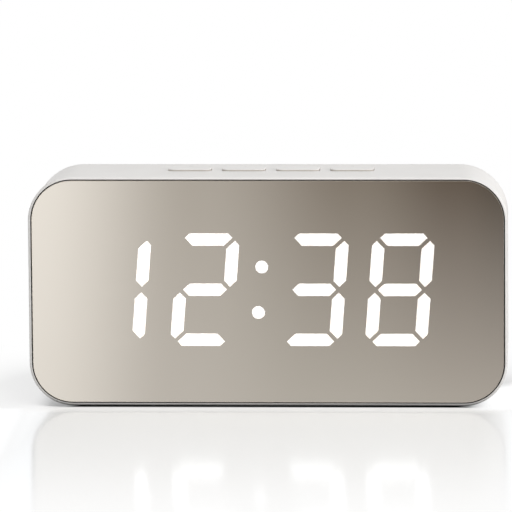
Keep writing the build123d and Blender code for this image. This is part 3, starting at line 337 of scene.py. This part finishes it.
def cellFinish():
    # plain film jacket, with a copper coloured band at each positive end
    finish, tree, shader = newFinish("cellJacket")
    middle, pitch = cellRows()
    place = axes(tree)
    offRow = calc(tree, "ABSOLUTE", calc(tree, "SUBTRACT", place["Z"], middle))
    outer = calc(tree, "GREATER_THAN", offRow, pitch / 2)
    way = calc(tree, "SUBTRACT", calc(tree, "MULTIPLY", outer, 2), 1)  # the middle cell lies the other way
    along = calc(tree, "MULTIPLY", place["X"], way)
    band = spread(tree, along, cellLook["seam"], cellLook["seam"] + cellLook["blur"], 0, 1)
    film = placeGroup(tree, moulded, cellLook["film"], cellLook["filmShade"], drift=cellLook["drift"],
                      roughness=cellLook["rough"], swing=cellLook["swing"])
    foil = placeGroup(tree, plated, cellLook["foil"], cellLook["foilShade"], streak=cellLook["streak"],
                      cloud=cellLook["cloud"])
    wire(tree, mixColour(tree, band, film["Colour"], foil["Colour"]), shader.inputs["Base Color"])
    wire(tree, film["Roughness"], shader.inputs["Roughness"])
    wire(tree, calc(tree, "MULTIPLY", band, cellLook["foilMetal"]), shader.inputs["Metallic"])
    return finish


# a finish for each material slot: colour, shade, roughness
finishes = {
    "shell_white": plastic("shellWhite", (0.80, 0.788, 0.776), (0.785, 0.772, 0.76), 0.42),
    "key_white": keyFinish(),
    "mirror_face": mirrorFinish(),
    "foam_black": plastic("foamBlack", (0.01, 0.01, 0.01), (0.018, 0.017, 0.016), 0.9, grain=2500,
                          relief=0.00004, shine=0.1),
    "film_black": plastic("filmBlack", (0.003, 0.003, 0.003), (0.005, 0.005, 0.005), 0.7, shine=0),
    "reflector_white": plastic("reflectorWhite", (0.85, 0.85, 0.84), (0.8, 0.8, 0.79), 0.3),
    "segment_lit": segmentFinish(),
    "segment_dark": plastic("segmentDark", (0.004, 0.004, 0.004), (0.006, 0.006, 0.006), 0.6, shine=0),
    "board_green": dress("boardGreen", tracks, (0.012, 0.11, 0.035), (0.03, 0.2, 0.06), 0.00002, size=90,
                         roughness=0.32),
    "led_resin": plastic("ledResin", (0.85, 0.78, 0.42), (0.8, 0.7, 0.34), 0.25, drift=500),
    "chip_black": plastic("chipBlack", (0.022, 0.022, 0.023), (0.03, 0.03, 0.031), 0.55, relief=0.00001),
    "can_metal": metal("canMetal", (0.75, 0.76, 0.78), (0.66, 0.67, 0.69), 0.28),
    "switch_black": plastic("switchBlack", (0.03, 0.03, 0.032), (0.04, 0.04, 0.042), 0.5),
    "ribbon_grey": plastic("ribbonGrey", (0.52, 0.52, 0.54), (0.46, 0.46, 0.48), 0.45),
    "cell_jacket": cellFinish(),
    "contact_nickel": metal("contactNickel", (0.72, 0.69, 0.63), (0.6, 0.57, 0.51), 0.3),
    "lead_black": plastic("leadBlack", (0.02, 0.02, 0.02), (0.028, 0.028, 0.028), 0.4),
    "lead_red": plastic("leadRed", (0.5, 0.02, 0.018), (0.42, 0.015, 0.014), 0.4),
    "socket_steel": metal("socketSteel", (0.68, 0.68, 0.68), (0.58, 0.58, 0.59), 0.27),
    "screw_steel": metal("screwSteel", (0.58, 0.58, 0.59), (0.48, 0.48, 0.49), 0.32, streak=2500),
    "foot_rubber": plastic("footRubber", (0.03, 0.03, 0.03), (0.042, 0.041, 0.04), 0.8, relief=0.00002),
}
inkGrey = plastic("inkGrey", (0.46, 0.455, 0.45), (0.4, 0.395, 0.39), 0.55, drift=300)

slotOf = {part["node"]: part["material_slot"] for part in frame["record"]["subparts"]}
for name, node in nodes.items():
    node.data.materials.clear()
    node.data.materials.append(finishes[slotOf[name]])
print("finishes on", len(slotOf), "nodes")


# modelling helpers

def deselectAll():
    bpy.ops.object.select_all(action="DESELECT")


def selectOnly(piece):
    deselectAll()
    piece.select_set(True)
    bpy.context.view_layer.objects.active = piece


def copyOf(model):
    # a copy with a mesh of its own
    selectOnly(model)
    bpy.ops.object.duplicate(linked=False)
    return bpy.context.object


def settle(piece, name, finish, body):
    # place and turn go into the mesh, then the piece gets its finish and its body
    selectOnly(piece)
    bpy.ops.object.transform_apply(location=True, rotation=True, scale=True)
    piece.name = name
    piece.data.name = name
    piece.data.materials.clear()
    piece.data.materials.append(finish)
    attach(piece, body)


def pickFaces(piece, wanted):
    bpy.ops.object.mode_set(mode="EDIT")
    bpy.ops.mesh.select_mode(type="FACE")
    bpy.ops.mesh.select_all(action="DESELECT")
    bpy.ops.object.mode_set(mode="OBJECT")
    for face in piece.data.polygons:
        face.select = wanted(face)
    bpy.ops.object.mode_set(mode="EDIT")


def turnOutwards():
    bpy.ops.mesh.select_all(action="SELECT")
    bpy.ops.mesh.normals_make_consistent(inside=False)
    bpy.ops.object.mode_set(mode="OBJECT")


def thicken(height):
    # the flat outline in hand becomes a closed plate
    bpy.ops.mesh.select_all(action="SELECT")
    bpy.ops.mesh.extrude_region_move(TRANSFORM_OT_translate={"value": (0, 0, height)})
    turnOutwards()


def flatOutline(corners, radius):
    deselectAll()
    bpy.ops.mesh.primitive_circle_add(vertices=corners, radius=radius, fill_type="NGON")
    piece = bpy.context.object
    bpy.ops.object.mode_set(mode="EDIT")
    return piece


# printed signs behind the keys, lengths in metres

signLook = {"radius": 0.0018, "sides": 48, "ring": 0.0005, "arrowRadius": 0.00207, "arrowCorners": 3,
            "bite": (0.00105, 0.000525), "biteRadius": 0.0015, "height": 0.00004, "sunk": 0.00001,
            "behind": 0.0076, "drop": 0.02}


def ringSign():
    piece = flatOutline(signLook["sides"], signLook["radius"])
    bpy.ops.mesh.select_all(action="SELECT")
    bpy.ops.mesh.inset(thickness=signLook["ring"], depth=0)
    bpy.ops.mesh.delete(type="FACE")
    thicken(signLook["height"])
    return piece


def arrowSign():
    piece = flatOutline(signLook["arrowCorners"], signLook["arrowRadius"])
    thicken(signLook["height"])
    return piece


def halfTurn(piece):
    selectOnly(piece)
    piece.rotation_euler = (0, 0, math.pi)
    bpy.ops.object.transform_apply(location=False, rotation=True, scale=False)
    return piece


def moonSign():
    height = signLook["height"]
    piece = flatOutline(signLook["sides"], signLook["radius"])
    thicken(height)
    cutter = flatOutline(signLook["sides"], signLook["biteRadius"])
    thicken(3 * height)  # stands out by the moon's height above and below
    cutter.location = (*signLook["bite"], -height)
    selectOnly(piece)
    bite = piece.modifiers.new("bite", "BOOLEAN")
    bite.operation = "DIFFERENCE"
    bite.object = cutter
    bpy.ops.object.modifier_apply(modifier=bite.name)
    bpy.data.objects.remove(cutter)
    return piece


def printSign(piece, name, key):
    # onto the sloping roof, straight behind the key
    low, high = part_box(key)
    middle = (low + high) / 2
    above = Vector((middle.x, middle.y + signLook["behind"], high.z + signLook["drop"]))
    spot, normal = nodes["front_housing"].ray_cast(above, Vector((0, 0, -1)))[1:3]
    piece.rotation_euler = (math.atan2(-normal.y, normal.z), 0, 0)
    piece.location = spot - normal * signLook["sunk"]
    settle(piece, name, inkGrey, "case")


upArrow = arrowSign()
downArrow = halfTurn(copyOf(upArrow))
printSign(ringSign(), "set_sign", "set_key")
printSign(upArrow, "up_sign", "up_key")
printSign(downArrow, "down_sign", "down_key")
printSign(moonSign(), "snooze_sign", "snooze_key")
print("signs behind the keys printed")


# raised plus and minus signs inside the battery door

poleLook = {"bar": 0.0008, "arm": 0.0011, "height": 0.00012, "sunk": 0.00005, "spread": 0.0165,
            "soft": 0.00004, "softSteps": 2, "facing": 0.9}


def poleSign(plus):
    # a bar that faces the cells, with a second one across it on a plus
    thick = poleLook["height"] + poleLook["sunk"]
    facing = poleLook["facing"]
    deselectAll()
    bpy.ops.mesh.primitive_cube_add(size=1, location=(0, poleLook["sunk"] - thick / 2, 0),
                                    scale=(poleLook["bar"], thick, poleLook["bar"]))
    piece = bpy.context.object
    bpy.ops.object.transform_apply(location=True, rotation=True, scale=True)
    pickFaces(piece, lambda face: abs(face.normal.x) > facing or (plus and abs(face.normal.z) > facing))
    bpy.ops.mesh.extrude_faces_move(TRANSFORM_OT_shrink_fatten={"value": poleLook["arm"]})
    turnOutwards()
    pickFaces(piece, lambda face: face.normal.y < -facing)
    bpy.ops.mesh.bevel(offset=poleLook["soft"], segments=poleLook["softSteps"], affect="EDGES")
    bpy.ops.object.mode_set(mode="OBJECT")
    return piece


def standOnDoor(piece, name, x, z):
    spot = nodes["battery_door"].ray_cast(Vector((x, 0, z)), Vector((0, 1, 0)))[1]
    piece.location = (x, spot.y, z)
    settle(piece, name, finishes["shell_white"], "battery_door")


plusModel = poleSign(True)
minusModel = poleSign(False)
middleRow, rowPitch = cellRows()
for number, row in enumerate((-1, 0, 1), start=1):
    plusEnd = -1 if row == 0 else 1  # the middle cell lies the other way
    height = middleRow + row * rowPitch
    standOnDoor(copyOf(plusModel), f"door_plus_{number}", plusEnd * poleLook["spread"], height)
    standOnDoor(copyOf(minusModel), f"door_minus_{number}", -plusEnd * poleLook["spread"], height)
for model in (plusModel, minusModel):
    bpy.data.objects.remove(model)
print("signs inside the battery door raised")


# table: distances are in metres from the clock's box, a side's three numbers are start, end and white
stageLook = {"size": 12, "floor": (0.88, 0.88, 0.875), "shade": (0.86, 0.86, 0.855), "drift": 4,
             "rough": 0.6, "swing": 0.02, "fade": {"aside": 0.045, "ahead": 0.28, "behind": 0.1},
             "leastWhite": 0.3, "left": (-0.013, -0.001, 0.68), "right": (-0.018, -0.006, 1),
             "corner": (-0.009, 0.007, 1), "fan": 1.5}


def awayShare(tree, spot):
    # 0 beside the clock, 1 where the table has faded to white
    squares = []
    for side, fade in stageLook["fade"].items():
        share = calc(tree, "DIVIDE", calc(tree, "MAXIMUM", spot[side], 0), fade)
        squares.append(calc(tree, "MULTIPLY", share, share))
    return calc(tree, "SQRT", calc(tree, "ADD", calc(tree, "ADD", squares[0], squares[1]), squares[2]))


def whiteShare(tree, spot, away):
    # the table fades to white with distance, past the clock's ends and off its front corners
    nearness = calc(tree, "SUBTRACT", 1, calc(tree, "MINIMUM", away, 1))
    dim = calc(tree, "MULTIPLY", calc(tree, "MULTIPLY", nearness, nearness), 1 - stageLook["leastWhite"])
    leftOf = calc(tree, "SUBTRACT", cadBox[0].x, spot["across"])
    rightStart, rightEnd, rightWhite = stageLook["right"]
    rightOf = calc(tree, "MINIMUM", calc(tree, "SUBTRACT", spot["across"], cadBox[1].x),
                   calc(tree, "SUBTRACT", rightEnd, spot["ahead"]))
    fan = calc(tree, "MULTIPLY", calc(tree, "MAXIMUM", spot["behind"], 0), stageLook["fan"])
    softEnd = calc(tree, "ADD", fan, rightEnd)  # a softer edge further back
    corner = calc(tree, "MINIMUM", spot["aside"], spot["ahead"])
    zones = ((leftOf, stageLook["left"]), (rightOf, (rightStart, softEnd, rightWhite)),
             (corner, stageLook["corner"]))
    lift = calc(tree, "SUBTRACT", 1, dim)
    for distance, (start, end, white) in zones:
        lift = calc(tree, "MAXIMUM", lift, spread(tree, distance, start, end, 0, white, smooth=True))
    return lift


glossLook = {"rough": 0.12, "colour": (0.92, 0.96, 1), "bend": 1.5, "boost": 0.36, "fadeStart": 0.3,
             "fadeEnd": 1.0, "near": 0.014, "nearLeast": 0.2, "side": (-0.012, 0.004, 0.4)}


def shineShare(tree, spot, away):
    # the gloss fades with distance, close to the front and past the ends
    shine = spread(tree, away, glossLook["fadeStart"], glossLook["fadeEnd"], 1, 0, smooth=True)
    near = spread(tree, spot["ahead"], 0, glossLook["near"], glossLook["nearLeast"], 1, smooth=True)
    start, end, least = glossLook["side"]
    side = spread(tree, spot["aside"], start, end, 1, least, smooth=True)
    return calc(tree, "MULTIPLY", calc(tree, "MULTIPLY", shine, near), side)


def polished(tree, matt, lift, shine):
    # matt near the clock and white further off, under a gloss that is stronger at low angles
    white = addNode(tree, "ShaderNodeEmission")
    gloss = addNode(tree, "ShaderNodeBsdfGlossy")
    gloss.inputs["Color"].default_value = (*glossLook["colour"], 1)
    gloss.inputs["Roughness"].default_value = glossLook["rough"]
    edge = addNode(tree, "ShaderNodeFresnel")
    edge.inputs["IOR"].default_value = glossLook["bend"]
    share = calc(tree, "MULTIPLY", edge.outputs[0], shine)
    strength = calc(tree, "ADD", calc(tree, "MULTIPLY", share, glossLook["boost"]), 1)
    wire(tree, strength, white.inputs["Strength"])
    return blendShaders(tree, share, blendShaders(tree, lift, matt, white.outputs[0]), gloss.outputs[0])


# painted contact shadow: half is half the length of the dark line painted under the case
contactLook = {"half": 0.0727, "taper": 0.35, "start": -0.002, "end": 0.0002, "shadeTaper": 2.0,
               "shadeEnd": 0.03, "colour": (0.004, 0.004, 0.004)}


def shadeUnder(tree, spot, seen, matt):
    # painted shadow: the table under the case is painted near black, and painted dark close by for bounced
    # light, so little light comes back up
    pastEnd = calc(tree, "SUBTRACT", spot["offMiddle"], contactLook["half"])
    lengthwise = calc(tree, "MAXIMUM", spot["ahead"], spot["behind"])
    outside = largest(tree, calc(tree, "MULTIPLY", pastEnd, contactLook["taper"]), lengthwise)
    inOpen = largest(tree, calc(tree, "MULTIPLY", pastEnd, contactLook["shadeTaper"]), lengthwise)
    paintedShadow = addNode(tree, "ShaderNodeBsdfDiffuse")
    paintedShadow.inputs["Color"].default_value = (*contactLook["colour"], 1)
    # clear and bare say where the painted shadow gives way, for the camera and for bounced light
    clear = spread(tree, outside, contactLook["start"], contactLook["end"], 0, 1, smooth=True)
    bare = spread(tree, inOpen, contactLook["start"], contactLook["shadeEnd"], 0, 1, smooth=True)
    bounced = blendShaders(tree, bare, paintedShadow.outputs[0], matt)
    return blendShaders(tree, clear, paintedShadow.outputs[0], seen), bounced


# painted reflection: glossy rays see the table as a glowing card, bright on the left and dim far off on
# the right, and the mirror shows it
# rise and reach say how soon the far colours come in, lean and draw how the colours move with distance
cardLook = {"strength": 1.2, "stripStart": 0.003, "stripEnd": 0.009, "reach": 2.455, "rise": 5.37,
            "lean": 0.054, "draw": 0.4,
            "far": [(0.0, (1.0, 1.0, 0.99)), (0.36, (0.5, 0.482, 0.458)), (0.69, (0.268, 0.243, 0.214)),
                    (0.9, (0.148, 0.124, 0.104)), (1.0, (0.102, 0.086, 0.072))],
            "near": [(0.0, (0.9, 0.9, 0.89)), (0.3, (0.6, 0.59, 0.575)), (0.6, (0.53, 0.52, 0.5)),
                     (1.0, (0.488, 0.471, 0.452))]}


def ramp(tree, place, stops):
    node = addNode(tree, "ShaderNodeValToRGB")
    node.color_ramp.interpolation = "EASE"
    elements = node.color_ramp.elements
    for count, (spot, colour) in enumerate(stops):
        element = elements[count] if count < 2 else elements.new(spot)  # a new ramp has two stops
        element.position = spot
        element.color = (*colour, 1)
    wire(tree, place, node.inputs[0])
    return node.outputs[0]


def paintedReflectionCard(tree, across, ahead):
    forward = calc(tree, "MAXIMUM", ahead, 0)
    rise = calc(tree, "DIVIDE", calc(tree, "MULTIPLY", forward, cardLook["rise"]),
                calc(tree, "ADD", forward, cardLook["reach"]), clamp=True)
    leaning = calc(tree, "ADD", across, calc(tree, "MULTIPLY", forward, cardLook["lean"]))
    drawn = calc(tree, "DIVIDE", leaning,
                 calc(tree, "ADD", calc(tree, "MULTIPLY", forward, cardLook["draw"]), 1))
    side = spread(tree, drawn, cadBox[0].x, cadBox[1].x, 0, 1)
    card = addNode(tree, "ShaderNodeEmission")
    # the painted reflection stays dark in the strip under the front rim
    strip = calc(tree, "ABSOLUTE", ahead)  # the strip under the front rim stays dark
    strength = spread(tree, strip, cardLook["stripStart"], cardLook["stripEnd"], 0, cardLook["strength"],
                      smooth=True)
    wire(tree, strength, card.inputs["Strength"])
    colour = mixColour(tree, rise, ramp(tree, side, cardLook["near"]), ramp(tree, side, cardLook["far"]))
    wire(tree, colour, card.inputs["Color"])
    return card.outputs[0]


def floorFinish():
    finish, tree, shader = newFinish("paleTable")
    cloud = placeGroup(tree, moulded, stageLook["floor"], stageLook["shade"], drift=stageLook["drift"],
                       roughness=stageLook["rough"], swing=stageLook["swing"])
    wire(tree, cloud["Colour"], shader.inputs["Base Color"])
    wire(tree, cloud["Roughness"], shader.inputs["Roughness"])
    shader.inputs["Specular IOR Level"].default_value = 0
    matt = shader.outputs[0]

    place = axes(tree)
    offMiddle = calc(tree, "ABSOLUTE", place["X"])
    spot = {"across": place["X"], "offMiddle": offMiddle,
            "aside": calc(tree, "SUBTRACT", offMiddle, cadBox[1].x),
            "ahead": calc(tree, "SUBTRACT", cadBox[0].y, place["Y"]),
            "behind": calc(tree, "SUBTRACT", place["Y"], cadBox[1].y)}
    away = awayShare(tree, spot)
    seen = polished(tree, matt, whiteShare(tree, spot, away), shineShare(tree, spot, away))
    seen, bounced = shadeUnder(tree, spot, seen, matt)

    # the camera sees the table, the mirror its card of painted reflection, and the rest gets the bounced
    # light with its painted shade
    light = addNode(tree, "ShaderNodeLightPath").outputs
    card = paintedReflectionCard(tree, spot["across"], spot["ahead"])
    hidden = blendShaders(tree, light["Is Glossy Ray"], bounced, card)
    result = blendShaders(tree, light["Is Camera Ray"], hidden, seen)
    wire(tree, result, tree.nodes["Material Output"].inputs["Surface"])
    return finish


def makeFloor():
    deselectAll()
    bpy.ops.mesh.primitive_plane_add(size=stageLook["size"], location=(0, 0, 0))
    floor = bpy.context.object
    floor.name = "table"
    floor.data.materials.append(floorFinish())


# room, lamps and camera

roomLook = {"colour": (1, 0.99, 0.98), "level": 0.18, "seenColour": (1, 1, 1), "seenLevel": 1.0}


def makeRoom():
    # dim as a light, white where it is seen or reflected
    world = bpy.data.worlds.new("studio")
    scene.world = world
    world.use_nodes = True
    tree = world.node_tree
    dim = tree.nodes["Background"]
    dim.inputs["Color"].default_value = (*roomLook["colour"], 1)
    dim.inputs["Strength"].default_value = roomLook["level"]
    white = addNode(tree, "ShaderNodeBackground")
    white.inputs["Color"].default_value = (*roomLook["seenColour"], 1)
    white.inputs["Strength"].default_value = roomLook["seenLevel"]
    light = addNode(tree, "ShaderNodeLightPath").outputs
    shown = largest(tree, light["Is Camera Ray"], light["Is Glossy Ray"], light["Is Transmission Ray"])
    mix = blendShaders(tree, shown, dim.outputs[0], white.outputs[0])
    wire(tree, mix, tree.nodes["World Output"].inputs["Surface"])


lampAim = Vector((0, 0, 0.04))
lamps = {
    "softboxRight": {"place": (1.2, -0.4, 0.4), "size": 0.35, "power": 7.0, "colour": (1, 0.99, 0.97)},
    "softboxTop": {"place": (0.0, -0.65, 1.25), "size": 0.7, "power": 11.4, "colour": (1, 0.995, 0.985)},
    "softboxRearRight": {"place": (1.2, 1.15, 0.22), "size": 0.8, "power": 5.0,
                         "colour": (1, 0.995, 0.99)},
    "softboxRearLeft": {"place": (-1.2, 1.15, 0.22), "size": 0.8, "power": 3.5,
                        "colour": (1, 0.995, 0.99)},
}


def makeLamps():
    for name, look in lamps.items():
        data = bpy.data.lights.new(name, "AREA")
        data.shape = "SQUARE"
        data.size = look["size"]
        data.energy = look["power"]
        data.color = look["colour"]
        lamp = bpy.data.objects.new(name, data)
        scene.collection.objects.link(lamp)
        lamp.location = look["place"]
        lamp.rotation_euler = (lampAim - lamp.location).to_track_quat("-Z", "Y").to_euler()


# angles in degrees, lens and sensor in millimetres
cameraLook = {"target": (-0.00404, -0.019, 0.05465), "distance": 2.4854, "elevation": 8.92,
              "azimuth": 3.09, "roll": -0.426, "lens": 492.19, "sensor": 36, "clipEnd": 50}


def makeCamera():
    azimuth = math.radians(cameraLook["azimuth"])
    elevation = math.radians(cameraLook["elevation"])
    roll = math.radians(cameraLook["roll"])
    back = Vector((math.sin(azimuth) * math.cos(elevation), -math.cos(azimuth) * math.cos(elevation),
                   math.sin(elevation)))
    right = (-back).cross(Vector((0, 0, 1))).normalized()
    up = right.cross(-back)
    turnedRight = math.cos(roll) * right + math.sin(roll) * up
    turnedUp = math.cos(roll) * up - math.sin(roll) * right
    turn = Matrix((turnedRight, turnedUp, back)).transposed().to_4x4()
    data = bpy.data.cameras.new("camera")
    data.lens = cameraLook["lens"]
    data.sensor_width = cameraLook["sensor"]
    data.clip_end = cameraLook["clipEnd"]
    camera = bpy.data.objects.new("camera", data)
    scene.collection.objects.link(camera)
    place = Vector(cameraLook["target"]) + cameraLook["distance"] * back
    camera.matrix_world = Matrix.Translation(place) @ turn
    scene.camera = camera


makeFloor()
makeRoom()
makeLamps()
makeCamera()
print("stage, lamps and camera ready")
